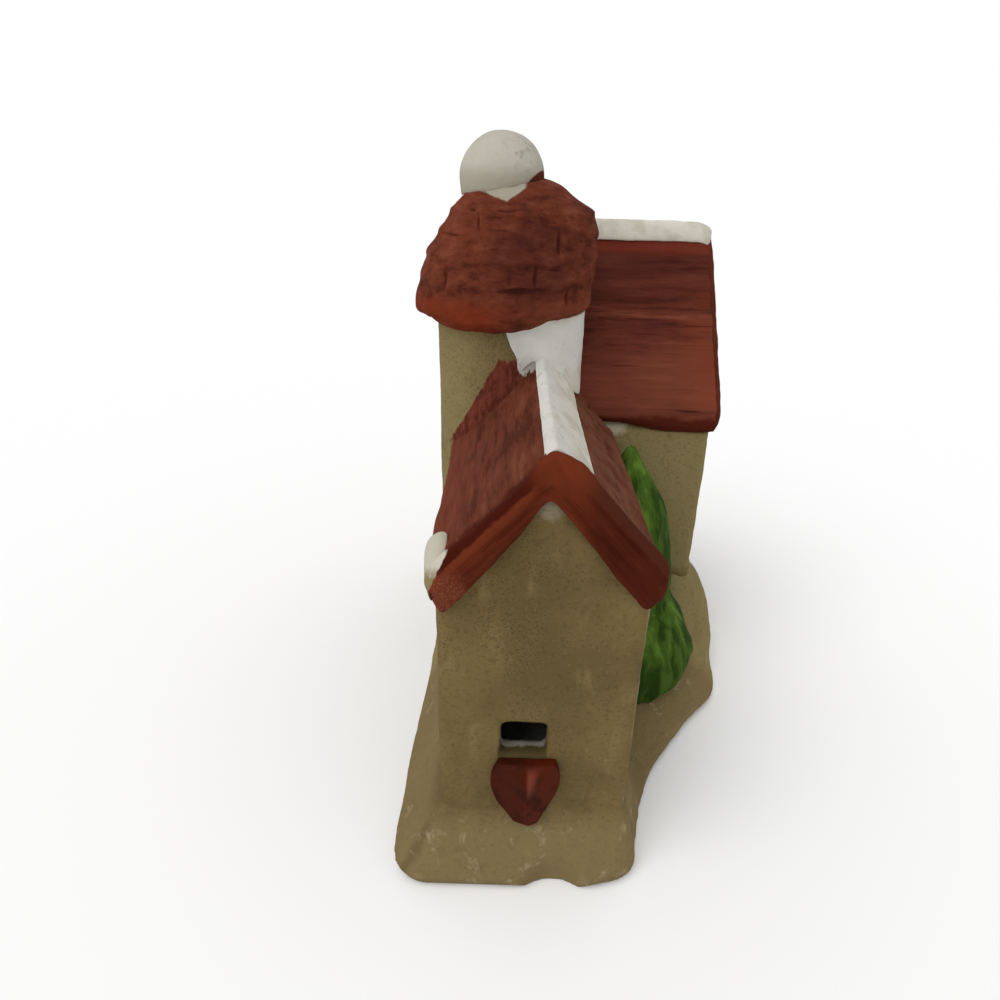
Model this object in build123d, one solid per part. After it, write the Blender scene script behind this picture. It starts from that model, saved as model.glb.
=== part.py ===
"""A hollow ceramic village house: a gabled front wing, a taller cross-gabled main house and a round tower.

The house is cast in clay, open underneath for a small lamp. Its pieces are cast or modelled one by one
and stuck together with slip: a flared foot, wall shells, roofs, bargeboards, snow, a fir and window boxes.
Every length is in millimetres. The origin is the plan centre of the whole house, on the ground.
+Z is up, and the gable end of the front wing looks along -Y.
"""

import os
from math import cos, pi, radians, sin, sqrt, tan

from build123d import *

# Shared sizes of the casting
WALL = 5.0
ROOF_THICKNESS = 5.0
CORNER_RADIUS = 2.0
SKIN = 0.9
OVERRUN = 2.0

# Front wing, whose gable end faces -Y
FRONT_WIDTH = 40.0
FRONT_LENGTH = 77.4
FRONT_RIDGE_Z = 99.3
FRONT_PITCH = 47.0
FRONT_EAVE = 1.6
FRONT_TIP = 3.2

# Main house, whose ridge runs along X
MAIN_LENGTH = 69.4
MAIN_DEPTH = 51.2
MAIN_RIDGE_Z = 126.0
MAIN_PITCH = 58.2
MAIN_EAVE = 1.5
MAIN_TIP = 4.6

# Round tower where the two wings meet
TOWER_RADIUS = 18.2
TOWER_TOP_Z = 107.5
TOWER_FROM_LEFT = 12.4
TOWER_FROM_RIDGE = 27.0

# Tower roof: stepped courses of shingles on a lopsided bell
CAP_RADIUS = 22.2
CAP_HEIGHT = 29.5
CAP_RIM = 4.0
CAP_LEAN = 3.6
CAP_OFFSET = 1.8
COURSES = 5
COURSE_STEP = 0.7
COURSE_LIP = 0.4
JOINTS = 10
JOINT_WIDTH = 0.9
JOINT_DEPTH = 0.7
CAP_RADIUS_SHARES = (1.0, 0.99, 0.97, 0.92, 0.84, 0.56)
CAP_LEAN_SHARES = (0.0, 0.2, 0.5, 0.75, 0.9, 0.5)

# Snow ball on the tip of the tower roof
BALL_RADIUS = 10.1
BALL_RISE = 12.0
BALL_OFFSET = 2.8

# Flared foot and the bank of ground around the walls
FOOT_HEIGHT = 16.0
FOOT_LIP = 3.0
FOOT_UNDERCUT = 1.2
FOOT_MARGIN = 0.8
FOOT_CORNER = 7.0
NOOK_CORNER = 42.0
BANK_LEFT = 10.4
BANK_RIGHT = 9.1
BANK_FRONT = 7.2
BANK_BACK = 7.0
BANK_WING = 2.9
NOOK_START = 15.0
NOOK_FLARE = 2.4
NOOK_END = 17.0
NOOK_TOP = 12.0
FLUTE_RADIUS = 9.5
FLUTE_DEPTH = 2.8
FLUTE_OFFSET = 4.9

# Windows and the boxes under them
WINDOW_WIDTH = 9.5
WINDOW_HEIGHT = 8.6
WINDOW_SILL_Z = 32.0
WINDOW_OFFSET = -2.4
SIDE_WINDOW_FROM_FRONT = 27.0
BOX_WIDTH = 13.8
BOX_HEIGHT = 17.8
BOX_DEPTH = 5.0
BOX_DROP = 0.4
BOX_EDGE_SHARE = 0.3
BOX_SWELL_SHARES = ((0.4, 0), (1.3, 0.15), (1.1, 0.7), (0.4, 1))
BOX_SHARES = ((-0.42, 0), (0.42, 0), (0.5, 0.22), (0.4, 0.55), (0.06, 1), (-0.42, 0.62), (-0.54, 0.25))

# Door at the foot of the tower
DOOR_WIDTH = 13.0
DOOR_TOP_Z = 40.0
DOOR_RELIEF = 1.3

# Bargeboards
BOARD_DEPTH = 7.2
BOARD_PROUD = 0.5
FRONT_BOARD = 2.5
SIDE_BOARD = 1.6
BOARD_SLANT = 3.2

# Snow on the ridges, the tower and the left eave
FRONT_SNOW_START = 1.5
FRONT_SNOW_RIGHT = 9.3
FRONT_SNOW_LEFT = 1.3
FRONT_SNOW_THICKNESS = 1.0
FRONT_SNOW_SLANT = 12.0
MAIN_SNOW_REACH = 2.3
MAIN_SNOW_TOP = 2.0
MAIN_SNOW_INSET = 0.7
TOWER_SNOW_START = -93.0
TOWER_SNOW_END = 25.0
TOWER_SNOW_SLANT = 7.0
TOWER_SNOW_FALL = 13.0
EAVE_SNOW_LENGTH = 13.0
EAVE_SNOW_HEIGHT = 12.0
EAVE_SNOW_REACH = 3.8
EAVE_SNOW_INSET = 2.5
EAVE_SNOW_DROP = 1.4

# Bank of ground heaped on the right gable
DRIFT_REACH = 8.2
DRIFT_DEPTH = 6.0
DRIFT_LENGTH = 24.0
DRIFT_TOP_Z = 35.0
DRIFT_FROM_FRONT = 8.0

# Fir tree in the nook between the wings
TREE_FROM_WING = 6.4
TREE_FROM_MAIN = 15.4
TREE_TOP_Z = 77.0
TREE_RADIUS = 22.4
TREE_FOOT_RADIUS = 12.0
TREE_HEM_Z = 18.0
TREE_WAIST_RADIUS = 14.2
TREE_WAIST_Z = 36.0
TREE_SKIRT = 3.0
TREE_BULGE = 1.5

# Places worked out from the sizes above
cap_overhang = CAP_RADIUS + CAP_OFFSET - TOWER_FROM_LEFT
whole_width = cap_overhang + MAIN_LENGTH + BANK_RIGHT
whole_depth = BANK_FRONT + FRONT_LENGTH + MAIN_DEPTH + BANK_BACK
left_x = -whole_width / 2 + cap_overhang
right_x = left_x + MAIN_LENGTH
front_x = left_x + FRONT_WIDTH / 2
wing_right_x = left_x + FRONT_WIDTH
front_y = -whole_depth / 2 + BANK_FRONT
main_y = front_y + FRONT_LENGTH
back_y = main_y + MAIN_DEPTH
ridge_y = main_y + MAIN_DEPTH / 2
tower_x = left_x + TOWER_FROM_LEFT
tower_y = ridge_y - TOWER_FROM_RIDGE


def prism_y(points, y_from, y_to):
    """A solid whose outline of (x, z) points runs along Y."""
    outline = Polyline(*[(x, y_from, z) for x, z in points], close=True)
    return extrude(make_face(outline), amount=y_to - y_from, dir=(0, 1, 0))


def prism_x(points, x_from, x_to):
    """A solid whose outline of (y, z) points runs along X."""
    outline = Polyline(*[(x_from, y, z) for y, z in points], close=True)
    return extrude(make_face(outline), amount=x_to - x_from, dir=(1, 0, 0))


def chevron(middle, half, inset, ridge_z, pitch, depth, tip):
    """The (across, z) outline of a gable roof or bargeboard: upright tips, then a slant to the underside."""
    slope = tan(radians(pitch))
    under_z = ridge_z - depth / cos(radians(pitch))
    right = [
        (middle + half, ridge_z - half * slope),
        (middle + half, ridge_z - half * slope - tip),
        (middle + inset, under_z - inset * slope),
    ]
    left = [(2 * middle - across, z) for across, z in reversed(right)]
    return [(middle, ridge_z), *right, (middle, under_z), *left]


def house_end(middle, half, ridge_z, pitch, foot_z):
    """The (across, z) outline of a gable end that reaches from foot_z up to a ridge."""
    eave_z = ridge_z - half * tan(radians(pitch))
    return [
        (middle - half, foot_z),
        (middle + half, foot_z),
        (middle + half, eave_z),
        (middle, ridge_z),
        (middle - half, eave_z),
    ]


front_ceiling_z = FRONT_RIDGE_Z - ROOF_THICKNESS / cos(radians(FRONT_PITCH))
main_ceiling_z = MAIN_RIDGE_Z - ROOF_THICKNESS / cos(radians(MAIN_PITCH))
front_half = FRONT_WIDTH / 2
main_half = MAIN_DEPTH / 2


def front_room():
    """The hollow inside the front wing, from below the foot to the ceiling."""
    end = house_end(front_x, front_half - WALL, front_ceiling_z, FRONT_PITCH, -OVERRUN)
    return prism_y(end, front_y + WALL, ridge_y)


def main_room():
    """The hollow inside the main house, from below the foot to the ceiling."""
    end = house_end(ridge_y, main_half - WALL, main_ceiling_z, MAIN_PITCH, -OVERRUN)
    return prism_x(end, left_x + WALL, right_x - WALL)


def main_mass():
    """The whole block of the main house with its roof, out to the eaves."""
    end = house_end(ridge_y, main_half + MAIN_EAVE, MAIN_RIDGE_Z, MAIN_PITCH, FOOT_HEIGHT)
    return prism_x(end, left_x, right_x)


def tower_drum(radius, foot_z, top_z):
    """An upright cylinder on the tower's axis."""
    drum = Cylinder(radius, top_z - foot_z, align=(Align.CENTER, Align.CENTER, Align.MIN))
    return Pos(tower_x, tower_y, foot_z) * drum


rooms = front_room() + main_room()
tower_mass = tower_drum(TOWER_RADIUS, 0, TOWER_TOP_Z)


def window_cut(x, y, along_x):
    """A window opening through a wall that runs along X, or along Y."""
    through = 2 * (WALL + OVERRUN)
    size = (WINDOW_WIDTH, through) if along_x else (through, WINDOW_WIDTH)
    block = Box(*size, WINDOW_HEIGHT, align=(Align.CENTER, Align.CENTER, Align.MIN))
    return Pos(x, y, WINDOW_SILL_Z) * block


# Each window: name, centre on the outer wall face, and the way that the wall looks
gable_window_x = front_x + WINDOW_OFFSET
side_window_y = front_y + SIDE_WINDOW_FROM_FRONT
windows = {
    "gable": ((gable_window_x, front_y), (0, -1)),
    "left": ((left_x, side_window_y), (-1, 0)),
    "right": ((wing_right_x, side_window_y - WINDOW_WIDTH), (1, 0)),
    "east": ((right_x, back_y - MAIN_DEPTH / 4), (1, 0)),
    "west": ((left_x, back_y - MAIN_DEPTH / 4), (-1, 0)),
}


def cut_windows(walls, names):
    """The walls with the named windows cut through them."""
    for name in names:
        (x, y), (look_x, _) = windows[name]
        walls -= window_cut(x, y, along_x=look_x == 0)
    return walls


cap_x = tower_x - CAP_OFFSET


def cap_ring(height, radius, lean):
    """A level circle of the tower roof, drawn at a height above the tower's wall."""
    return Plane((cap_x + lean, tower_y, TOWER_TOP_Z + height)) * Circle(radius)


def cap_levels():
    """(foot height, top height, foot share, top share) of each course of shingles."""
    rise = (CAP_HEIGHT - CAP_RIM) / COURSES
    for i in range(COURSES):
        yield CAP_RIM + i * rise, CAP_RIM + (i + 1) * rise, i, i + 1


def stepped_cap():
    rings = [cap_ring(0, CAP_RADIUS - COURSE_STEP - WALL / 2, 0)]
    rings.append(cap_ring(CAP_RIM / 2, CAP_RADIUS, 0))
    for low, high, foot, top in cap_levels():
        rings.append(cap_ring(low, CAP_RADIUS * CAP_RADIUS_SHARES[foot], CAP_LEAN * CAP_LEAN_SHARES[foot]))
        shrunk = CAP_RADIUS * CAP_RADIUS_SHARES[top] - COURSE_STEP
        rings.append(cap_ring(high - COURSE_LIP, shrunk, CAP_LEAN * CAP_LEAN_SHARES[top]))
    return loft(rings, ruled=True) - list(shingle_joints())


def shingle_joints():
    """The upright joints between the shingles, half a shingle out of step from course to course."""
    for course, (low, high, foot, top) in enumerate(cap_levels()):
        foot_radius = CAP_RADIUS * CAP_RADIUS_SHARES[foot]
        top_radius = CAP_RADIUS * CAP_RADIUS_SHARES[top] - COURSE_STEP
        lean = CAP_LEAN * (CAP_LEAN_SHARES[foot] + CAP_LEAN_SHARES[top]) / 2
        radius = (foot_radius + top_radius) / 2
        rise = high - low - 2 * COURSE_LIP
        for i in range(JOINTS):
            turn = 2 * pi * (i + course / 2) / JOINTS
            out = Vector(cos(turn), sin(turn), 0)
            along = Vector(-sin(turn), cos(turn), 0)
            centre = Vector(cap_x + lean, tower_y, TOWER_TOP_Z + (low + high) / 2) + out * radius
            normal = out * rise + Vector(0, 0, foot_radius - top_radius)
            seat = Plane(centre, x_dir=along, z_dir=normal)
            yield seat * Box(JOINT_WIDTH, rise, 2 * JOINT_DEPTH)


cap_block = stepped_cap()


def front_wing_walls():
    end = house_end(front_x, front_half, front_ceiling_z, FRONT_PITCH, FOOT_HEIGHT)
    block = prism_y(end, front_y, main_y)
    corners = block.edges().filter_by(Axis.Z).group_by(Axis.Y)[0]
    walls = fillet(corners, CORNER_RADIUS) - front_room() - main_mass() - tower_mass
    return cut_windows(walls, ("gable", "left", "right"))


def main_house_walls():
    end = house_end(ridge_y, main_half, main_ceiling_z, MAIN_PITCH, FOOT_HEIGHT)
    block = prism_x(end, left_x, right_x)
    corners = block.edges().filter_by(Axis.Z).group_by(Axis.X)[-1]
    walls = fillet(corners, CORNER_RADIUS) - rooms - tower_mass
    return cut_windows(walls, ("east", "west"))


def tower_wall():
    hollow = tower_drum(TOWER_RADIUS - WALL, -OVERRUN, TOWER_TOP_Z + OVERRUN)
    return tower_mass - hollow - rooms


def front_wing_roof():
    half = front_half + FRONT_EAVE
    slab = chevron(front_x, half, front_half, FRONT_RIDGE_Z, FRONT_PITCH, ROOF_THICKNESS, FRONT_TIP)
    return prism_y(slab, front_y, main_y + WALL) - main_mass() - tower_mass


def main_house_roof():
    half = main_half + MAIN_EAVE
    slab = chevron(ridge_y, half, main_half, MAIN_RIDGE_Z, MAIN_PITCH, ROOF_THICKNESS, MAIN_TIP)
    return prism_x(slab, left_x, right_x) - front_room() - tower_mass - cap_block


def front_bargeboard():
    ridge_z = FRONT_RIDGE_Z + BOARD_PROUD / cos(radians(FRONT_PITCH))
    half = front_half + FRONT_EAVE
    outline = chevron(front_x, half, half - BOARD_SLANT, ridge_z, FRONT_PITCH, BOARD_DEPTH, FRONT_TIP)
    return prism_y(outline, front_y - FRONT_BOARD, front_y)


def side_bargeboard(x_from, x_to):
    ridge_z = MAIN_RIDGE_Z + BOARD_PROUD / cos(radians(MAIN_PITCH))
    half = main_half + MAIN_EAVE
    outline = chevron(ridge_y, half, half - BOARD_SLANT, ridge_z, MAIN_PITCH, BOARD_DEPTH, MAIN_TIP)
    return prism_x(outline, x_from, x_to) - tower_mass - cap_block


def tower_roof():
    upright = (Align.CENTER, Align.CENTER, Align.MIN)
    hollow = Cone(TOWER_RADIUS - WALL, WALL, CAP_HEIGHT - 2 * WALL, align=upright)
    return cap_block - Pos(tower_x, tower_y, TOWER_TOP_Z) * hollow


def snow_ball():
    top_z = TOWER_TOP_Z + CAP_HEIGHT + BALL_RISE
    return Pos(tower_x - BALL_OFFSET, tower_y, top_z - BALL_RADIUS) * Sphere(BALL_RADIUS) - cap_block


def rim_outline(spread, height, inset=0):
    """The foot's outline at a height; spread 1 is the rim on the ground and 0 the wall line above it."""
    left = left_x - FOOT_MARGIN - spread * (BANK_LEFT - FOOT_MARGIN) + inset
    right = right_x + FOOT_MARGIN + spread * (BANK_RIGHT - FOOT_MARGIN) - inset
    front = front_y - FOOT_MARGIN - spread * (BANK_FRONT - FOOT_MARGIN) + inset
    back = back_y + FOOT_MARGIN + spread * (BANK_BACK - FOOT_MARGIN) - inset
    wing = wing_right_x + FOOT_MARGIN + spread * (BANK_WING - FOOT_MARGIN) - inset
    nook_front = main_y - NOOK_TOP - spread * (FRONT_LENGTH - NOOK_START - NOOK_TOP) + inset
    nook_back = main_y - FOOT_MARGIN - spread * (NOOK_END - FOOT_MARGIN) + inset
    corners = [
        (left, front),
        (wing, front),
        (wing + NOOK_FLARE * spread, nook_front),
        (right, nook_back),
        (right, back),
        (left, back),
    ]
    face = make_face(Polyline(*[(x, y, height) for x, y in corners], close=True))
    wide, tight = FOOT_CORNER + spread * (NOOK_CORNER - FOOT_CORNER), FOOT_CORNER * (1 + spread) / 2
    for x, y in corners:
        corner = face.vertices().sort_by_distance((x, y, height))[0]
        face = fillet(corner, wide if y == nook_back else tight)
    return face


sole_spread = 1 - FOOT_UNDERCUT / BANK_FRONT
sole = rim_outline(sole_spread, 0)
foot_block = loft([sole, rim_outline(1, FOOT_LIP), rim_outline(0, FOOT_HEIGHT)], ruled=True)


def flared_foot():
    hollow = loft([rim_outline(1, 0, WALL), rim_outline(0, FOOT_HEIGHT - WALL, WALL)], ruled=True)
    flute = Cylinder(FLUTE_RADIUS, FOOT_HEIGHT, align=(Align.CENTER, Align.CENTER, Align.MIN))
    flute_y = -whole_depth / 2 - FLUTE_RADIUS + FLUTE_DEPTH
    shell = foot_block - hollow - rooms - tower_mass
    return shell - Pos(front_x + FLUTE_OFFSET, flute_y, 0) * flute


def window_box(name):
    """A red box under a window: a shield that swells to an upright ridge and runs down to a point."""
    (x, y), (look_x, look_y) = windows[name]
    look = Vector(look_x, look_y, 0)
    across = Vector(0, 0, 1).cross(look)
    seat = (x, y, WINDOW_SILL_Z - BOX_DROP)
    wall_face = Plane(seat, x_dir=across, z_dir=look)
    spots = [(BOX_WIDTH * aside, -BOX_HEIGHT * down) for aside, down in BOX_SHARES]
    top_left, top_right, right, low_right, tip, low_left, left = spots
    outline = [
        Line(top_left, top_right),
        ThreePointArc(top_right, right, low_right),
        Line(low_right, tip),
        Line(tip, low_left),
        ThreePointArc(low_left, left, top_left),
    ]
    shield = extrude(wall_face * make_face(outline), amount=BOX_DEPTH)
    edge = BOX_DEPTH * BOX_EDGE_SHARE
    section = [(-BOX_WIDTH, 0), (BOX_WIDTH, 0), (BOX_WIDTH / 2, edge), (0, BOX_DEPTH), (-BOX_WIDTH / 2, edge)]
    level = Plane(seat, x_dir=across, z_dir=(0, 0, -1))
    ridge = extrude(level * make_face(Polyline(*section, close=True)), amount=BOX_HEIGHT)
    swell = [(BOX_DEPTH * out, -BOX_HEIGHT * down) for out, down in BOX_SWELL_SHARES]
    profile = [Bezier(*swell), Polyline(swell[-1], (0, -BOX_HEIGHT), (0, 0), swell[0])]
    upright = Plane(seat, x_dir=look, z_dir=-across)
    belly = extrude(upright * make_face(profile), amount=BOX_WIDTH, both=True)
    return (shield & ridge & belly) - foot_block


def tower_door():
    """An arched door on the tower's left, following its curve."""
    half = DOOR_WIDTH / 2
    spring = DOOR_TOP_Z - half
    outline = [
        Line((-half, 0), (half, 0)),
        Line((half, 0), (half, spring)),
        ThreePointArc((half, spring), (0, DOOR_TOP_Z), (-half, spring)),
        Line((-half, spring), (-half, 0)),
    ]
    face = Plane((tower_x, tower_y, 0), x_dir=(0, -1, 0), z_dir=(-1, 0, 0)) * make_face(outline)
    skin = tower_drum(TOWER_RADIUS + DOOR_RELIEF, 0, DOOR_TOP_Z)
    panel = extrude(face, amount=TOWER_RADIUS + OVERRUN) & skin
    return panel - tower_mass - foot_block


def front_ridge_snow():
    """A strip of snow on the front ridge, most of it down the right slope, with a slanted front end."""
    slope = tan(radians(FRONT_PITCH))
    rise = FRONT_SNOW_THICKNESS / cos(radians(FRONT_PITCH))
    left, right = FRONT_SNOW_LEFT, FRONT_SNOW_RIGHT
    outline = [
        (front_x - left, FRONT_RIDGE_Z - left * slope),
        (front_x - left / 2, FRONT_RIDGE_Z - left / 2 * slope + rise / 2),
        (front_x + left / 2, FRONT_RIDGE_Z - left / 2 * slope + rise),
        (front_x + right - 2 * left, FRONT_RIDGE_Z - (right - 2 * left) * slope + rise),
        (front_x + right, FRONT_RIDGE_Z - right * slope),
        (front_x, FRONT_RIDGE_Z),
    ]
    start = front_y + FRONT_SNOW_START
    strip = prism_y(outline, start, tower_y)
    corner = [(front_x, start), (front_x + right, start), (front_x + right, start + FRONT_SNOW_SLANT)]
    bare = extrude(make_face(Polyline(*corner, close=True)), amount=TOWER_TOP_Z, dir=(0, 0, 1))
    return strip - bare - tower_drum(TOWER_RADIUS + SKIN, 0, TOWER_TOP_Z)


def main_ridge_snow():
    """A rounded cap of snow along the main ridge."""
    x = left_x - SIDE_BOARD + MAIN_SNOW_INSET
    length = MAIN_LENGTH + 2 * (SIDE_BOARD - MAIN_SNOW_INSET)
    low = MAIN_RIDGE_Z - MAIN_SNOW_REACH * tan(radians(MAIN_PITCH))
    pull = MAIN_RIDGE_Z + (4 * MAIN_SNOW_TOP + MAIN_RIDGE_Z - low) / 3
    front, back = ridge_y - MAIN_SNOW_REACH, ridge_y + MAIN_SNOW_REACH
    outline = [
        Bezier((x, front, low), (x, front, pull), (x, back, pull), (x, back, low)),
        Line((x, back, low), (x, ridge_y, MAIN_RIDGE_Z)),
        Line((x, ridge_y, MAIN_RIDGE_Z), (x, front, low)),
    ]
    cap = extrude(make_face(outline), amount=length, dir=(1, 0, 0))
    return cap - cap_block - parts["left_bargeboard"] - parts["right_bargeboard"]


def front_mass():
    """The whole block of the front wing with its roof, out to the eaves."""
    end = house_end(front_x, front_half + FRONT_EAVE, FRONT_RIDGE_Z, FRONT_PITCH, 0)
    return prism_y(end, front_y, ridge_y)


def tower_snow():
    """A thin skin of snow on the tower, above the roofs on its front and right, with a slanted left edge."""
    sector = Cylinder(
        TOWER_RADIUS + SKIN,
        TOWER_TOP_Z,
        arc_size=TOWER_SNOW_END - TOWER_SNOW_START,
        align=(Align.NONE, Align.NONE, Align.MIN),
    )
    skin = Pos(tower_x, tower_y, 0) * Rot(0, 0, TOWER_SNOW_START) * sector
    bare = [
        (tower_x, TOWER_TOP_Z),
        (tower_x + TOWER_SNOW_SLANT, TOWER_TOP_Z - TOWER_SNOW_FALL),
        (tower_x + TOWER_SNOW_SLANT, FOOT_HEIGHT),
        (tower_x - 2 * TOWER_RADIUS, FOOT_HEIGHT),
        (tower_x - 2 * TOWER_RADIUS, TOWER_TOP_Z),
    ]
    slant = prism_y(bare, tower_y - 2 * TOWER_RADIUS, tower_y)
    return skin - tower_mass - front_mass() - main_mass() - slant


def eave_snow():
    """A dab of snow on the edge of the left eave, just behind the front bargeboard."""
    half = front_half + FRONT_EAVE
    dab = scale(Sphere(1), by=(EAVE_SNOW_REACH, EAVE_SNOW_LENGTH / 2, EAVE_SNOW_HEIGHT / 2))
    eave_z = FRONT_RIDGE_Z - half * tan(radians(FRONT_PITCH))
    x, y = front_x - half + EAVE_SNOW_INSET, front_y + EAVE_SNOW_LENGTH / 3
    whole = Pos(x, y, eave_z - EAVE_SNOW_DROP) * dab
    return whole - front_mass() - parts["front_bargeboard"]


def wing_mass():
    """The whole block of the front wing inside its eaves."""
    end = house_end(front_x, front_half, FRONT_RIDGE_Z, FRONT_PITCH, 0)
    return prism_y(end, front_y, main_y)


def corner_drift():
    """Ground heaped against the main house's right front corner, flaring down to the rim of the foot."""
    reach = DRIFT_DEPTH + DRIFT_REACH
    height = (DRIFT_TOP_Z - FOOT_LIP) / sqrt(1 - (DRIFT_DEPTH / reach) ** 2)
    heap = scale(Sphere(1), by=(reach, DRIFT_LENGTH, height))
    whole = Pos(right_x - DRIFT_DEPTH, main_y + DRIFT_FROM_FRONT, FOOT_LIP) * heap
    ground = Box(whole_width, whole_depth, height, align=(Align.CENTER, Align.CENTER, Align.MAX))
    return whole - wing_mass() - main_mass() - foot_block - Pos(0, 0, FOOT_LIP) * ground


def fir_tree():
    """A fir of two tiers, standing on the bank in the nook between the wings."""
    x = wing_right_x + TREE_FROM_WING
    y = main_y - TREE_FROM_MAIN
    tuck = TREE_WAIST_RADIUS - TREE_SKIRT / 2
    foot, low, waist = (TREE_FOOT_RADIUS, 0), (TREE_RADIUS, TREE_HEM_Z), (tuck, TREE_WAIST_Z)
    hem, top = (TREE_WAIST_RADIUS, TREE_WAIST_Z - TREE_SKIRT / 2), (0, TREE_TOP_Z)
    low_pull = ((low[0] + waist[0]) / 2 + TREE_BULGE, (low[1] + waist[1]) / 2 + TREE_BULGE)
    top_pull = (hem[0] / 2 + 2 * TREE_BULGE, (hem[1] + top[1]) / 2 + TREE_BULGE)
    outline = [
        Line((0, 0), foot),
        Bezier(foot, (TREE_RADIUS, TREE_HEM_Z / 3), low),
        Bezier(low, low_pull, waist),
        Line(waist, hem),
        Bezier(hem, top_pull, top),
        Line(top, (0, 0)),
    ]
    profile = Plane((x, y, 0), (1, 0, 0), (0, -1, 0)) * make_face(outline)
    tree = revolve(profile, Axis((x, y, 0), (0, 0, 1)))
    return tree - wing_mass() - main_mass() - foot_block - parts["corner_drift"]


parts = {
    "flared_foot": flared_foot(),
    "front_wing_walls": front_wing_walls(),
    "main_house_walls": main_house_walls(),
    "tower_wall": tower_wall(),
    "front_wing_roof": front_wing_roof(),
    "main_house_roof": main_house_roof(),
    "front_bargeboard": front_bargeboard(),
    "right_bargeboard": side_bargeboard(right_x, right_x + SIDE_BOARD),
    "left_bargeboard": side_bargeboard(left_x - SIDE_BOARD, left_x),
    "tower_roof": tower_roof(),
    "snow_ball": snow_ball(),
    "front_ridge_snow": front_ridge_snow(),
    "tower_snow": tower_snow(),
    "tower_door": tower_door(),
    "corner_drift": corner_drift(),
}
parts["main_ridge_snow"] = main_ridge_snow()
parts["eave_snow"] = eave_snow()
parts["fir_tree"] = fir_tree()
for name in ("gable", "east", "west"):
    parts[f"{name}_window_box"] = window_box(name)

os.makedirs("parts", exist_ok=True)
for name, part in parts.items():
    export_step(part, f"parts/{name}.step")
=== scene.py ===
"""The looks of a hand-painted ceramic village house: clay softened by hand, brushed paint and snow."""

import math

import bmesh
import bpy
import numpy as np
from mathutils import Matrix, Vector, noise


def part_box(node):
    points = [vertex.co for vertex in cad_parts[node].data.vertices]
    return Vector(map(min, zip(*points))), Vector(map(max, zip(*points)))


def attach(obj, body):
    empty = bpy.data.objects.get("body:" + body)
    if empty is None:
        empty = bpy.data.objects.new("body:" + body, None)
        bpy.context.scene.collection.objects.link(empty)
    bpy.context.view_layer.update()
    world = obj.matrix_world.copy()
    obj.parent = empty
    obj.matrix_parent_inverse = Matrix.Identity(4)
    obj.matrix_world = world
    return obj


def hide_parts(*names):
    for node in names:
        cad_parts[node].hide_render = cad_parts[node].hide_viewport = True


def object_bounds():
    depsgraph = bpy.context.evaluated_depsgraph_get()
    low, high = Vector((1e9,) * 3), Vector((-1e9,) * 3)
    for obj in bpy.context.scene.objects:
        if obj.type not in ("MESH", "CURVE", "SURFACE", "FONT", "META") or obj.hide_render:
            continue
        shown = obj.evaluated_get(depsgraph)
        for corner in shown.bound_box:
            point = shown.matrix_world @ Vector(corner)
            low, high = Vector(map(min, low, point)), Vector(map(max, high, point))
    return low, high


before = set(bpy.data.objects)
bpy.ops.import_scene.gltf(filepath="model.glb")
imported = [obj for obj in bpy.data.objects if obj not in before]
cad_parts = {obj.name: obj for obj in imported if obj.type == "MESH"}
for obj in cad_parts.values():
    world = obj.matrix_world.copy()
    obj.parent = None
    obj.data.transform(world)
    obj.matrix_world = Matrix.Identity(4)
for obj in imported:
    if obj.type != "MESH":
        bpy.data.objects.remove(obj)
cad_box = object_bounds()

MM = 0.001


def paint(red, green, blue):
    """A colour given as screen values from 0 to 255, in the linear light that shaders use."""
    shares = [value / 255 for value in (red, green, blue)]
    return tuple(s / 12.92 if s <= 0.04045 else ((s + 0.055) / 1.055) ** 2.4 for s in shares) + (1.0,)


# Shader sums


class Reading:
    """A node's output that takes part in sums."""

    def __init__(self, finish, socket):
        self.finish = finish
        self.socket = socket

    def sum(self, operation, first, second):
        return self.finish.node("ShaderNodeMath", {"operation": operation}, {0: first, 1: second})

    def __add__(self, other):
        return self.sum("ADD", self, other)

    def __radd__(self, other):
        return self.sum("ADD", other, self)

    def __sub__(self, other):
        return self.sum("SUBTRACT", self, other)

    def __rsub__(self, other):
        return self.sum("SUBTRACT", other, self)

    def __mul__(self, other):
        return self.sum("MULTIPLY", self, other)

    def __rmul__(self, other):
        return self.sum("MULTIPLY", other, self)

    def __truediv__(self, other):
        return self.sum("DIVIDE", self, other)

    def __abs__(self):
        return self.finish.node("ShaderNodeMath", {"operation": "ABSOLUTE"}, {0: self})


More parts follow.
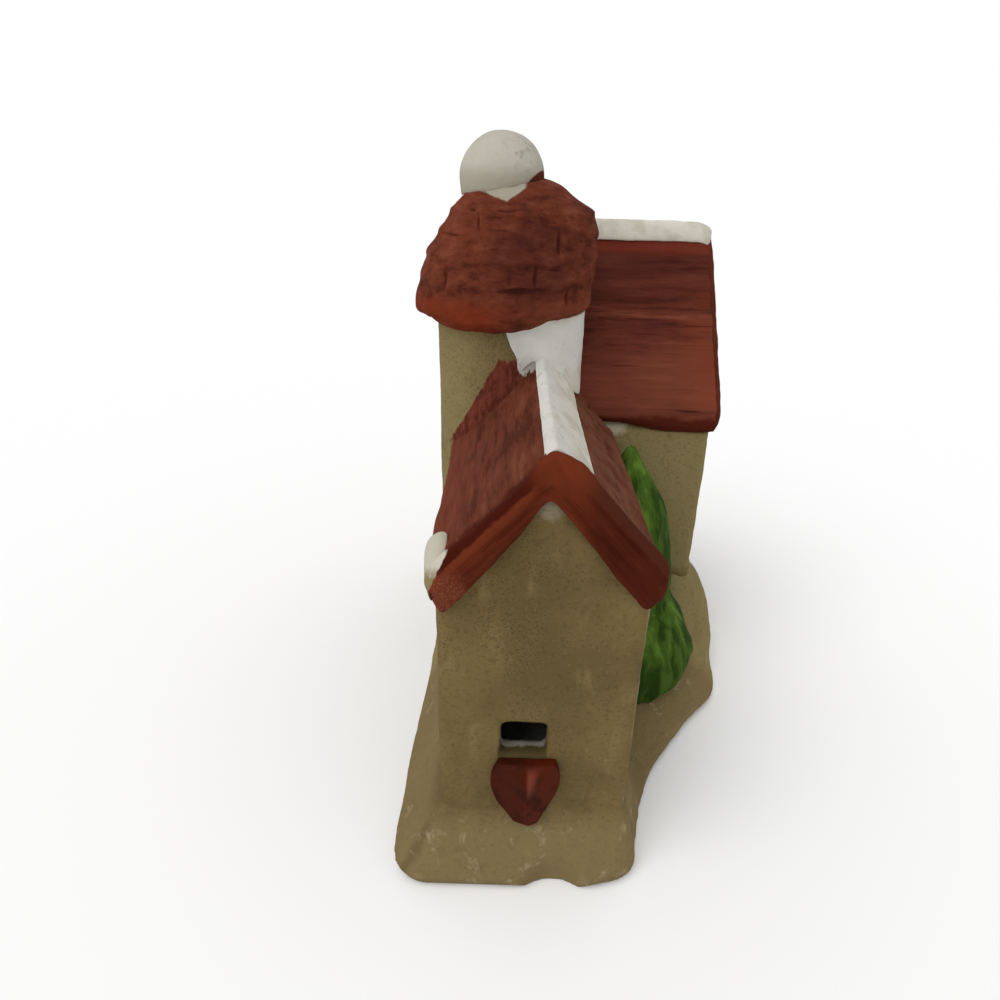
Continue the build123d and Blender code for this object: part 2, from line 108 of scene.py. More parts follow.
class Finish:
    """A painted finish, put together one node at a time. Places are in millimetres."""

    def __init__(self, name):
        self.material = bpy.data.materials.new(name)
        self.material.use_nodes = True
        self.tree = self.material.node_tree
        self.shader = self.tree.nodes["Principled BSDF"]
        place = self.node("ShaderNodeTexCoord", out="Object")
        scaled = {0: place, "Scale": 1 / MM}
        self.place = self.node("ShaderNodeVectorMath", {"operation": "SCALE"}, scaled)
        self.x, self.y, self.z = (
            self.node("ShaderNodeSeparateXYZ", sockets={0: self.place}, out=axis) for axis in "XYZ"
        )

    def node(self, kind, settings=None, sockets=None, out=0):
        """A new node with its settings and sockets, read at one of its outputs."""
        made = self.tree.nodes.new(kind)
        for key, value in (settings or {}).items():
            setattr(made, key, value)
        for key, value in (sockets or {}).items():
            self.feed(made.inputs[key], value)
        return Reading(self, made.outputs[out])

    def feed(self, socket, value):
        """Links a reading to a socket, or leaves a constant on it."""
        if isinstance(value, Reading):
            self.tree.links.new(value.socket, socket)
        else:
            socket.default_value = value

    def stretched(self, x, y, z):
        """The place, pulled by a factor along each axis, so that a pattern turns into strokes."""
        return self.node("ShaderNodeVectorMath", {"operation": "MULTIPLY"}, {0: self.place, 1: (x, y, z)})

    def cloud(self, size, detail=3.0, place=None, rough=0.55, warp=0.0):
        """Cloudy noise from 0 to 1 with features of about a size in millimetres."""
        sockets = {"Vector": place or self.place, "Scale": 1 / size, "Detail": detail}
        sockets |= {"Roughness": rough, "Distortion": warp}
        return self.node("ShaderNodeTexNoise", {"noise_dimensions": "3D"}, sockets)

    def specks(self, size):
        """The distance to the nearest of many scattered points, in cells of a size in millimetres."""
        sockets = {"Vector": self.place, "Scale": 1 / size}
        return self.node("ShaderNodeTexVoronoi", {"feature": "F1"}, sockets)

    def rise(self, value, low, high):
        """0 below low, 1 above high, and a soft step between; low may be the larger."""
        sockets = {0: value, 1: low, 2: high, 3: 0.0, 4: 1.0}
        return self.node("ShaderNodeMapRange", {"interpolation_type": "SMOOTHSTEP"}, sockets)

    def over(self, under, top, mask):
        """One colour painted over another where the mask is 1."""
        sockets = {"Factor": mask, 6: under, 7: top}
        return self.node("ShaderNodeMix", {"data_type": "RGBA"}, sockets, out=2)

    def least(self, first, second):
        """The smaller of two values."""
        return self.node("ShaderNodeMath", {"operation": "MINIMUM"}, {0: first, 1: second})

    def joined(self, x, y, z):
        """A place put together from three values."""
        return self.node("ShaderNodeCombineXYZ", sockets={0: x, 1: y, 2: z})

    def near(self, place):
        """The distance to a place, in millimetres."""
        sockets = {0: self.place, 1: place}
        return self.node("ShaderNodeVectorMath", {"operation": "DISTANCE"}, sockets, out="Value")

    def mark(self, name):
        """A value that the piece carries on its own surface."""
        return self.node("ShaderNodeAttribute", {"attribute_name": name}, out="Fac")

    def surface(self, colour, roughness, height, depth):
        """Wires up the shader; height from 0 to 1 stands depth millimetres proud."""
        self.feed(self.shader.inputs["Base Color"], colour)
        self.feed(self.shader.inputs["Roughness"], roughness)
        self.shader.inputs["Specular IOR Level"].default_value = 0.04
        bump = {"Height": height, "Distance": depth * MM, "Strength": 1.0}
        self.feed(self.shader.inputs["Normal"], self.node("ShaderNodeBump", {}, bump))
        return self.material


# Shaping clay


def bake(piece):
    """Turns a piece's modifiers into mesh."""
    plain = piece.data
    shaped = bpy.data.meshes.new_from_object(piece.evaluated_get(bpy.context.evaluated_depsgraph_get()))
    piece.modifiers.clear()
    piece.data = shaped
    bpy.data.meshes.remove(plain)
    shaped.name = piece.name


def rub(piece, passes, group=""):
    """Smooths a piece all over, or by the weights of a group."""
    smooth = piece.modifiers.new("rub", "SMOOTH")
    smooth.factor = 0.5
    smooth.iterations = passes
    smooth.vertex_group = group
    bake(piece)


def clay(name, nodes, voxel, passes):
    """One piece of clay from some solids: joined, remeshed in voxels of a size and rubbed smooth."""
    lump = bmesh.new()
    for node in nodes:
        lump.from_mesh(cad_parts[node].data)
    bmesh.ops.remove_doubles(lump, verts=lump.verts, dist=0.01 * MM)
    mesh = bpy.data.meshes.new(name)
    lump.to_mesh(mesh)
    lump.free()
    piece = bpy.data.objects.new(name, mesh)
    bpy.context.scene.collection.objects.link(piece)
    remesh = piece.modifiers.new("remesh", "REMESH")
    remesh.mode = "VOXEL"
    remesh.voxel_size = voxel * MM
    rub(piece, passes)
    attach(piece, "root")
    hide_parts(*nodes)
    return piece


def soften(piece, passes, weight):
    """Rubs a piece smooth where weight(place), from 0 to 1, asks for it."""
    group = piece.vertex_groups.new(name="soft")
    for vertex in piece.data.vertices:
        group.add([vertex.index], weight(vertex.co / MM), "REPLACE")
    rub(piece, passes, group.name)
    piece.vertex_groups.clear()


def fill(piece, passes, weight):
    """Fills the hollows of a piece with clay: rubbed like soften does, but no point goes inwards."""
    before = [(vertex.co.copy(), vertex.normal.copy()) for vertex in piece.data.vertices]
    soften(piece, passes, weight)
    for vertex, (place, normal) in zip(piece.data.vertices, before):
        if (vertex.co - place).dot(normal) < 0:
            vertex.co = place
    piece.data.update()


def work(piece, relief, pull=lambda place: Vector()):
    """Moves each point by relief(place, normal) along its normal and by pull(place), in millimetres.

    No point leaves the box of the solids.
    """
    low, high = cad_box
    mesh = piece.data
    normals = [vertex.normal.copy() for vertex in mesh.vertices]
    for vertex, normal in zip(mesh.vertices, normals):
        place = vertex.co / MM
        moved = (place + normal * relief(place, normal) + pull(place)) * MM
        vertex.co = [min(max(value, least), most) for value, least, most in zip(moved, low, high)]
    mesh.update()


def thin(piece, triangles):
    """Merges the flat stretches of a piece until about a number of triangles is left."""
    piece.data.calc_loop_triangles()
    merge = piece.modifiers.new("thin", "DECIMATE")
    merge.ratio = min(1.0, triangles / len(piece.data.loop_triangles))
    bake(piece)


def mark(piece, name, value):
    """Leaves a mark on the surface of a piece: value(place, normal), from 0 to 1."""
    values = [value(vertex.co / MM, vertex.normal) for vertex in piece.data.vertices]
    piece.data.attributes.new(name, "FLOAT", "POINT").data.foreach_set("value", values)


def mark_edges(piece, reach):
    """Leaves two marks on a piece: edge, where it is convex, and hollow, where it is concave."""
    mesh = piece.data
    points = np.empty(len(mesh.vertices) * 3)
    normals = np.empty_like(points)
    pairs = np.empty(len(mesh.edges) * 2, dtype=np.int64)
    mesh.vertices.foreach_get("co", points)
    mesh.vertices.foreach_get("normal", normals)
    mesh.edges.foreach_get("vertices", pairs)
    points, normals, pairs = points.reshape(-1, 3), normals.reshape(-1, 3), pairs.reshape(-1, 2)
    counts = np.maximum(np.bincount(pairs.ravel(), minlength=len(points)), 1)

    def around(values):
        total = np.zeros_like(values)
        np.add.at(total, pairs[:, 0], values[pairs[:, 1]])
        np.add.at(total, pairs[:, 1], values[pairs[:, 0]])
        return total / counts.reshape(-1, *[1] * (values.ndim - 1))

    strength = 8  # a bend of an eighth of an edge's length counts as a full mark
    span = np.linalg.norm(points[pairs[:, 0]] - points[pairs[:, 1]], axis=1).mean()
    bend = ((points - around(points)) * normals).sum(axis=1) / span
    for _ in range(reach):
        bend = (bend + around(bend)) / 2
    for name, values in (("edge", bend), ("hollow", -bend)):
        shares = np.clip(values * strength, 0, 1)
        mesh.attributes.new(name, "FLOAT", "POINT").data.foreach_set("value", shares)


def finished(piece, material):
    """Gives a piece its paint and smooth shading."""
    piece.data.materials.clear()
    piece.data.materials.append(material)
    piece.data.shade_smooth()


def lumps(place, size, seed=0.0):
    """Smooth lumps from about -1 to 1 with features of a size in millimetres."""
    return noise.noise(place / size + Vector((seed, seed * 1.7, seed * 0.6)))


def ramp(value, low, high):
    """0 at low, 1 at high, and a soft step between; low may be the larger."""
    share = min(max((value - low) / (high - low), 0.0), 1.0)
    return share * share * (3 - 2 * share)


# Sizes, and places read from the frame, in millimetres


def spans(node):
    """The two corners of a node's box, in millimetres."""
    low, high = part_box(node)
    return low / MM, high / MM


WALL = 5.0  # the thickness of the cast walls
FRONT_SLOPE = math.tan(math.radians(47))  # how far the front roof rises for each millimetre across
BOX_ASIDE = 0.8  # the gable's window box is stuck on a little to the right of its window
STRAY_Z = 100  # the height on the tower that strokes of the roof's red reach, with snow beside them

wing_low, wing_high = spans("front_wing_walls")
main_low, main_high = spans("main_house_walls")
roof_low, roof_high = spans("front_wing_roof")
board_low, board_high = spans("front_bargeboard")
tower_low, tower_high = spans("tower_wall")
cap_low, cap_high = spans("tower_roof")
ball_low, ball_high = spans("snow_ball")
slope_low, slope_high = spans("main_house_roof")
foot_low, foot_high = spans("flared_foot")
box_low, box_high = spans("gable_window_box")
ridge_x = (roof_low.x + roof_high.x) / 2
tower_x, tower_y = (tower_low.x + tower_high.x) / 2, (tower_low.y + tower_high.y) / 2
tower_radius = (tower_high.x - tower_low.x) / 2
ball_x = (ball_low.x + ball_high.x) / 2
window_x = (box_low.x + box_high.x) / 2
eave_z = spans("eave_snow")[0].z


def inside(place, normal):
    """1 in the hollow of the casting, where the clay is bare, and 0 on its painted outside."""
    depth = WALL - 0.6  # a little less than the wall, so that its inner face counts as inside
    across = abs(place.x - ridge_x)
    in_wing = (
        across < (wing_high.x - wing_low.x) / 2 - depth
        and wing_low.y + depth < place.y < main_low.y + 2 * WALL
        and place.z < roof_high.z - FRONT_SLOPE * across - WALL
    )
    in_house = (
        main_low.x + depth < place.x < main_high.x - depth
        and main_low.y + depth < place.y < main_high.y - depth
    )
    in_tower = math.hypot(place.x - tower_x, place.y - tower_y) < tower_radius - depth
    inward = normal.x * place.x + normal.y * place.y < 0 or normal.z < -0.8
    in_foot = place.z < foot_high.z - WALL + 1 and normal.z < -0.1 and inward
    return float(in_wing or in_house or in_tower or in_foot)


# Finishes


def tan_mottle(f, broad, fine, low, behind):
    """Olive-tan paint, paler on the foot and behind, with blotches, fine grain and dark dots."""
    colour = f.over(paint(97, 82, 51), paint(116, 99, 63), f.rise(broad, 0.33, 0.66))
    colour = f.over(colour, paint(126, 110, 76), low * 0.7)
    colour = f.over(colour, paint(134, 121, 82), behind * 0.78)
    patch = f.cloud(7, 4, place=f.stretched(1.0, 1.0, 0.5), warp=0.5)
    colour = f.over(colour, paint(134, 117, 80), f.rise(patch, 0.54, 0.74) * 0.5)
    blotch = f.rise(f.cloud(11, 5, rough=0.65, warp=0.6), 0.58, 0.74)
    colour = f.over(colour, paint(74, 61, 38), blotch * 0.4)
    grain = f.rise(fine, 0.52, 0.7) * (0.45 - low * 0.25 - behind * 0.15)
    colour = f.over(colour, paint(80, 67, 42), grain)
    colour = f.over(colour, paint(126, 110, 76), f.rise(f.cloud(0.7, 2), 0.6, 0.74) * 0.3)
    high_left = f.rise(f.z, 46, 60) * f.rise(f.x, ridge_x + 8, ridge_x - 6)
    dots = f.rise(f.specks(0.5), 0.34, 0.16) * f.rise(f.cloud(6, 3) + high_left * 0.2, 0.5, 0.7)
    return f.over(colour, paint(50, 41, 28), dots * (0.65 - low * 0.5))


def tan_wear(f, colour, low, behind):
    """Painted shade in the hollows and along the foot's hip, and paint rubbed on the edges, the foot and
    under the roofs.
    """
    flare_x, flare_y = 10.4, 7.2  # how far the foot stands out at the wing's left front corner
    aside, ahead = (f.x - wing_low.x) / flare_x, (f.y - wing_low.y) / flare_y
    # painted shade: darker along the hip of the foot at the wing's left front corner
    hip_shade = f.rise(abs(aside - ahead) + f.cloud(3, 3) * 0.24, 0.5, 0.12) * f.rise(aside, 0, -0.3) * low
    colour = f.over(colour, paint(84, 71, 46), hip_shade * 0.5)
    lower_half = f.rise(f.z, 44, 12)
    worn = f.rise(f.mark("edge"), 0.2, 0.7) * f.rise(f.cloud(5, 4), 0.46, 0.64) * lower_half
    colour = f.over(colour, paint(160, 146, 116), worn * 0.5)
    arris = f.rise(abs(f.x - wing_high.x), 0.9, 0.3) * f.rise(abs(f.y - wing_low.y), 1.6, 0.8)
    colour = f.over(colour, paint(156, 142, 108), arris * f.rise(f.cloud(6, 4), 0.36, 0.56) * 0.6)
    corner = f.near((wing_low.x + 4, wing_low.y - 3, 9))
    rubbed = f.cloud(4.5, 5, rough=0.72, warp=0.6) + f.rise(corner, 12, 4) * 0.05
    colour = f.over(colour, paint(166, 152, 124), f.rise(rubbed, 0.57, 0.7) * low * 0.5)
    # painted shade: darker in the hollows, except behind the tower
    dark = f.rise(f.mark("hollow"), 0.1, 0.7) * (1 - behind)
    colour = f.over(colour, paint(62, 52, 34), dark * 0.5)
    peak = f.near((ridge_x, wing_low.y, wing_high.z - 1.5))
    colour = f.over(colour, paint(158, 148, 130), f.rise(peak + f.cloud(1.6, 3) * 4, 6.6, 3.4) * 0.55)
    nook = f.near((wing_high.x + 2, main_low.y, roof_low.z + 6.5))
    return f.over(colour, paint(176, 166, 146), f.rise(nook + f.cloud(2, 3) * 4, 6.4, 4.2) * 0.8)


def tan_strays(f, colour):
    """Snow and red strokes on the front of the tower, above the front roof."""
    front = f.rise(f.y, tower_y - 6, tower_y - 9) * f.rise(f.y, tower_low.y - 3, tower_low.y - 1)
    snow = f.rise(f.x - 0.3 * (f.z - (STRAY_Z - 4)), tower_x + 0.4, tower_x + 1.2)
    snow = snow * f.rise(f.z, STRAY_Z - 8, STRAY_Z - 7) * f.rise(f.z, STRAY_Z + 3, STRAY_Z + 1)
    colour = f.over(colour, paint(200, 197, 188), snow * front)
    bristles = f.cloud(1.1, 4, place=f.stretched(1.0, 1.0, 0.4), rough=0.65)
    ragged = bristles - 0.5
    line = f.least(STRAY_Z + ragged * 6, STRAY_Z + 1.9 * (f.x - tower_x + 2.4) + ragged * 2.4)
    line = line - 3.4 * f.rise(f.x, tower_x + 1.4, tower_x + 2.8)
    stray = f.rise(line - f.z, -0.3, 0.4) * f.rise(f.z, STRAY_Z - 25, STRAY_Z - 23)
    brick = f.over(paint(112, 57, 43), paint(88, 41, 30), f.rise(bristles, 0.4, 0.6))
    return f.over(colour, brick, stray * front)


def tan_bare(f, colour, patches):
    """Bare clay on the back of the window's sill, and the bare clay in the hollow of the house darkened
    as painted shade.
    """
    bare = f.over(paint(158, 153, 142), paint(128, 121, 108), patches)
    sill = f.rise(f.z, box_high.z - 1.4, box_high.z - 0.8)
    sill = sill * f.rise(f.z, box_high.z + 3.4, box_high.z + 2.2)
    sill = sill * f.rise(abs(f.x - window_x), 5.4, 4.8) * f.rise(abs(f.y - wing_low.y - 3), 4.4, 4.0)
    colour = f.over(colour, paint(68, 58, 34), sill * 0.85)
    chalk = sill * f.rise(f.y + f.cloud(2.4, 3) * 3, wing_low.y + 3.6, wing_low.y + 4.6)
    colour = f.over(colour, bare, chalk)
    # painted shade: the bare clay in the hollow of the house, darkened
    dim = f.over(paint(88, 83, 74), paint(66, 61, 53), patches)
    return f.over(colour, dim, f.mark("inside"))


def tan_clay():
    """Olive-tan paint over pale clay, worn, with strays of red and snow on the tower."""
    f = Finish("tan_clay")
    broad = f.cloud(24, 4)
    fine = f.cloud(0.9, 3)
    low = f.rise(f.z, foot_high.z + 2, foot_high.z - 4)
    behind = f.rise(f.y, tower_low.y - 2, tower_low.y + 4)
    colour = tan_mottle(f, broad, fine, low, behind)
    colour = tan_wear(f, colour, low, behind)
    colour = tan_strays(f, colour)
    colour = tan_bare(f, colour, f.rise(broad + fine * 0.3, 0.5, 0.8))
    height = fine * 0.4 + f.cloud(3.2, 4, rough=0.6) * 0.6
    return f.surface(colour, 0.86 - f.rise(broad, 0.4, 0.7) * 0.08, height, 0.4)


def brushed(f, swept, base, dark, light):
    """The colour and height of paint in strokes, with painted shade in hollows and highlight on edges;
    swept is the place, drawn out along the brush.
    """
    broad = f.cloud(13, 4)
    stroke = f.cloud(2.2, 4, place=swept, rough=0.6)
    hair = f.cloud(0.7, 3, place=swept, rough=0.6)
    colour = f.over(base, dark, f.rise(stroke + (broad - 0.5) * 0.4, 0.5, 0.34) * 0.8)
    colour = f.over(colour, light, f.rise(stroke + broad * 0.4, 0.7, 0.92) * 0.7)
    colour = f.over(colour, dark, f.rise(hair, 0.46, 0.3) * 0.5)
    colour = f.over(colour, light, f.rise(hair, 0.58, 0.72) * 0.25)
    # painted shade in the hollows and a painted highlight on the convex edges
    colour = f.over(colour, dark, f.rise(f.mark("hollow"), 0.12, 0.7) * 0.75)
    colour = f.over(colour, light, f.rise(f.mark("edge"), 0.3, 0.9) * f.rise(broad, 0.4, 0.6) * 0.4)
    return colour, stroke * 0.6 + hair * 0.4


def front_roof_red():
    """Brick-red strokes along both slopes: painted shade in the crease behind the board, paler on the
    right.
    """
    f = Finish("front_roof_red")
    swept = f.stretched(1.0, 0.14, 1.0)
    colour, height = brushed(f, swept, paint(95, 48, 33), paint(66, 30, 21), paint(118, 68, 50))
    eave = f.rise(f.x + (f.cloud(8, 3) - 0.5) * 14, ridge_x - 12, ridge_x - 19)
    colour = f.over(colour, paint(114, 56, 41), eave * 0.45)
    right = f.rise(f.x, ridge_x + 5, ridge_x + 12) * f.rise(f.cloud(5, 4), 0.36, 0.6)
    colour = f.over(colour, paint(116, 80, 60), right * 0.5)
    # painted shade: dark in the crease behind the front board
    crease = f.rise(f.y + f.cloud(3, 3) * 2, board_high.y + 3.2, board_high.y + 1.4)
    colour = f.over(colour, paint(56, 12, 5), crease * 0.85)
    return f.surface(colour, 0.9, height, 0.4)


def main_roof_red():
    """Brick-red strokes along the slope: dark by ridge, painted shade at the eave, brighter low down and
    on the right.
    """
    f = Finish("main_roof_red")
    swept = f.stretched(0.1, 1.0, 1.0)
    colour, height = brushed(f, swept, paint(97, 47, 35), paint(66, 29, 22), paint(120, 66, 49))
    band = f.cloud(5, 3, place=f.stretched(0.06, 1.0, 1.0))
    dusk = f.rise(f.z + (band - 0.5) * 34, slope_high.z - 24, slope_high.z - 10)
    colour = f.over(colour, paint(60, 26, 22), dusk * 0.6)
    bright = f.rise(f.z + (band - 0.5) * 20, slope_high.z - 24, slope_high.z - 34)
    colour = f.over(colour, paint(120, 64, 48), bright * 0.5)
    right = f.rise(f.x, main_high.x - 12, main_high.x - 4) * f.rise(band, 0.42, 0.58)
    colour = f.over(colour, paint(122, 58, 36), right * 0.5)
    crack = f.rise(f.cloud(1.7, 2, place=f.stretched(0.05, 1.0, 1.0)), 0.64, 0.72)
    colour = f.over(colour, paint(40, 16, 11), crack * 0.6)
    colour = f.over(colour, paint(112, 44, 30), f.rise(f.z, slope_high.z - 6.6, slope_high.z - 4.6) * 0.6)
    # painted shade: dark along the eave's front face
    eave = f.rise(f.z + (f.cloud(6, 3) - 0.5) * 4, slope_low.z + 6, slope_low.z + 4)
    colour = f.over(colour, paint(66, 18, 7), eave * 0.8)
    return f.surface(colour, 0.9, height, 0.4)


def shingle_red():
    """Brick-red shingles: painted light on the left and the left of the rim, paler on the right of the
    rim, dusky in front, with snow below the ball.
    """
    f = Finish("shingle_red")
    swept = f.stretched(0.45, 0.45, 1.0)
    colour, height = brushed(f, swept, paint(97, 46, 31), paint(68, 29, 20), paint(120, 66, 47))
    blot = f.cloud(9, 4, warp=0.8)
    # painted light: the left side and the left of the rim painted brighter, as if lit from the left
    left = f.rise(f.x + (blot - 0.5) * 18, tower_x - 4, tower_x - 14)
    left = left * f.rise(f.z, cap_low.z + 10, cap_low.z + 20)
    colour = f.over(colour, paint(114, 56, 39), left * 0.4)
    dusk = f.near((tower_x + 5, cap_low.y + 2, cap_low.z + 15)) + (blot - 0.5) * 14
    colour = f.over(colour, paint(56, 25, 23), f.rise(dusk, 14, 6) * 0.45)
    rim = f.rise(f.z + (blot - 0.5) * 8, cap_low.z + 8, cap_low.z + 3)
    colour = f.over(colour, paint(114, 42, 20), rim * f.rise(f.x, tower_x + 2, tower_x - 8) * 0.7)
    colour = f.over(colour, paint(122, 64, 44), rim * f.rise(f.x, tower_x, tower_x + 8) * 0.4)
    scratch = f.rise(f.cloud(1.5, 3, place=f.stretched(0.22, 0.22, 1.0)), 0.66, 0.74)
    colour = f.over(colour, paint(44, 17, 11), scratch * 0.5)
    aside = f.x - ball_x - 1.3
    run = f.z + f.least(aside * 0.32, aside * -0.63) + (f.cloud(2, 3) - 0.5) * 0.8
    run = f.rise(run, cap_high.z - 2.5, cap_high.z - 2.0) * f.rise(f.x, ball_x + 6, ball_x + 5)
    colour = f.over(colour, paint(156, 148, 132), run)
    return f.surface(colour, 0.88, height, 0.5)


def board_red():
    """Orange-red paint; the front board has a groove on its left with painted shade, a painted highlight
    on its bead and peak, and specks and snow at its left tip.
    """
    f = Finish("board_red")
    along = abs(f.x - ridge_x)
    below = board_high.z - FRONT_SLOPE * along - f.z
    swept = f.joined(along * 0.14, f.y, below)
    colour, height = brushed(f, swept, paint(90, 36, 19), paint(64, 21, 9), paint(112, 50, 28))
    front = f.rise(f.y, board_high.y + 3, board_high.y + 1)
    colour = f.over(colour, paint(82, 39, 28), (1 - front) * 0.7)
    left = front * f.rise(f.x, ridge_x - 1, ridge_x - 4)
    right = front * f.rise(f.x, ridge_x + 3, ridge_x + 9)
    ragged = (f.cloud(2.4, 3) - 0.5) * 2.4
    # painted highlight on the bead of the left limb, then painted shade in its groove
    colour = f.over(colour, paint(112, 50, 28), left * f.rise(below, 6.5, 4) * 0.6)
    colour = f.over(colour, paint(54, 11, 5), left * f.rise(below + ragged, 3.2, 2.2) * 0.85)
    colour = f.over(colour, paint(58, 22, 10), left * f.rise(below + ragged, 6.8, 8.4) * 0.5)
    colour = f.over(colour, paint(52, 17, 8), right * 0.6)
    colour = f.over(colour, paint(74, 38, 26), right * f.rise(below + ragged, 0.4, -0.8) * 0.6)
    # painted highlight at the peak of the front board
    peak = f.near((ridge_x + 2.5, board_low.y, board_high.z - 1.5))
    colour = f.over(colour, paint(112, 49, 26), f.rise(peak + ragged, 9, 3) * 0.5)
    tip = f.near((board_low.x + 3, board_low.y, board_low.z + 3))
    knob = f.rise(tip + f.cloud(2, 3) * 5, 9, 5)
    colour = f.over(colour, paint(112, 54, 36), knob * 0.6)
    colour = f.over(colour, paint(146, 98, 76), knob * f.rise(f.specks(0.35), 0.5, 0.25) * 0.35)
    snow = f.rise(f.z - 2.26 * (f.x - board_low.x) + ragged, board_low.z + 1.8, board_low.z + 2.4)
    snow = front * snow * f.rise(f.x, board_low.x + 4.4, board_low.x + 3.6)
    tanned = f.rise(f.z + ragged, board_low.z + 9, board_low.z + 6)
    colour = f.over(colour, f.over(paint(192, 186, 170), paint(134, 120, 88), tanned), snow)
    return f.surface(colour, 0.84, height, 0.35)


def snow_white():
    """White paint over clay: mottled, with painted shade in the hollows and on the eave's dab, stained,
    with red run up beside the ball.
    """
    f = Finish("snow_white")
    fine = f.cloud(1.3, 3)
    colour = f.over(paint(208, 203, 191), paint(190, 184, 170), f.rise(f.cloud(6, 4), 0.42, 0.66))
    tower = f.rise(f.z, tower_high.z - 14, tower_high.z - 9) * f.rise(f.z, tower_high.z + 1, tower_high.z)
    colour = f.over(colour, paint(205, 206, 202), tower * 0.6)
    colour = f.over(colour, paint(172, 167, 154), f.rise(f.z, cap_high.z - 6, cap_high.z - 2) * 0.8)
    # painted shade: greyer in the hollows
    colour = f.over(colour, paint(150, 143, 130), f.rise(f.mark("hollow"), 0.15, 0.8) * 0.4)
    shaded = f.rise(f.z, ball_low.z + 7, ball_low.z + 2) * f.rise(f.z, cap_high.z - 6, cap_high.z - 4)
    colour = f.over(colour, paint(146, 137, 120), shaded * 0.6)
    grime = f.rise(f.specks(2.4), 0.14, 0.06) * f.rise(f.cloud(7, 2), 0.5, 0.6)
    colour = f.over(colour, paint(120, 116, 108), grime * 0.6)
    stain = f.rise(f.cloud(4, 4, warp=0.6), 0.56, 0.7) * f.rise(f.z, cap_low.z - 6, cap_low.z - 9)
    colour = f.over(colour, paint(176, 158, 124), stain * 0.5)
    touched = f.near((ball_x + 5, ball_low.y + 3, ball_high.z - 4))
    smudge = f.rise(f.cloud(2.2, 4), 0.52, 0.66) * f.rise(touched, 6, 3)
    colour = f.over(colour, paint(122, 121, 114), smudge * 0.5)
    ragged = (f.cloud(2, 3) - 0.5) * 2.4
    # painted shade: the dab of snow on the left eave painted greyer
    dab = f.rise(f.x, wing_low.x + 5, wing_low.x + 2) * f.rise(f.z, wing_high.z, wing_high.z - 6)
    colour = f.over(colour, paint(180, 174, 157), dab * 0.8)
    tanned = f.rise(f.z + ragged * 0.6, eave_z + 7, eave_z + 4)
    colour = f.over(colour, paint(124, 109, 75), f.rise(f.x, wing_low.x + 3, wing_low.x + 2) * tanned)
    climb = f.z - 3.6 * f.rise(f.x, ball_x + 4, ball_x + 9.4) + ragged * 0.3
    climb = f.rise(climb, cap_high.z + 0.7, cap_high.z + 0.2)
    climb = climb * f.rise(f.z, cap_high.z - 6, cap_high.z - 4)
    colour = f.over(colour, paint(84, 36, 26), climb * f.rise(f.x, ball_x + 4, ball_x + 5))
    return f.surface(colour, 0.84 + fine * 0.1, fine * 0.5 + f.cloud(4, 2) * 0.5, 0.3)


def fir_green():
    """Green paint with broad lighter and darker strokes down the boughs, and painted shade in the
    hollows.
    """
    f = Finish("fir_green")
    swept = f.stretched(1.0, 1.0, 0.2)
    stroke = f.cloud(4.2, 4, place=swept, rough=0.55)
    hair = f.cloud(0.9, 3, place=swept)
    colour = f.over(paint(64, 88, 30), paint(40, 62, 17), f.rise(stroke, 0.52, 0.4))
    colour = f.over(colour, paint(88, 118, 43), f.rise(stroke, 0.54, 0.66) * 0.8)
    colour = f.over(colour, paint(24, 38, 11), f.rise(hair, 0.42, 0.3) * 0.4)
    # painted shade: darker in the hollows
    colour = f.over(colour, paint(22, 34, 11), f.rise(f.mark("hollow"), 0.15, 0.7) * 0.6)
    return f.surface(colour, 0.86, stroke * 0.6 + hair * 0.4, 0.45)


def box_red():
    """Dark red-brown satin paint; the gable's box has painted shade left of its ridge and a painted
    highlight right of it.
    """
    f = Finish("box_red")
    broad = f.cloud(4, 4)
    colour = f.over(paint(74, 25, 8), paint(52, 16, 4), f.rise(broad, 0.42, 0.62))
    front = f.rise(f.y, wing_low.y + 2, wing_low.y)
    aside, down = f.x - window_x - BOX_ASIDE, box_high.z - f.z
    # painted shade on the facet left of the box's ridge
    colour = f.over(colour, paint(50, 15, 4), front * f.rise(aside, 0.2, -0.4) * 0.5)
    # painted highlight on the facet right of the ridge, fading downwards
    shine = f.rise(aside, 0, 0.8) * f.rise(aside + down * 0.2, 3.6, 1.2) * f.rise(down, 8, 4)
    colour = f.over(colour, paint(142, 76, 58), front * shine * f.rise(down, 0, 1.6) * 0.42)
    f.shader.inputs["Coat Weight"].default_value = 0.04
    f.shader.inputs["Coat Roughness"].default_value = 0.25
    return f.surface(colour, 0.6 + broad * 0.15, f.cloud(1.4, 3), 0.2)


# Pieces


def lean(at):
    """The hand-made lean of the main house's right gable: tipped inwards, with a drooping ridge end."""
    share = min(max((at.z - slope_low.z) / (slope_high.z - slope_low.z), 0.0), 1.1)
    droop = min(max((at.x - main_high.x + 6) / 7.6, 0.0), 1.0) ** 3
    tip = 2.2 * share * ramp(at.x, main_high.x - 16, main_high.x - 2)
    return Vector((-tip, 0, -2.4 * share ** 3 * droop))


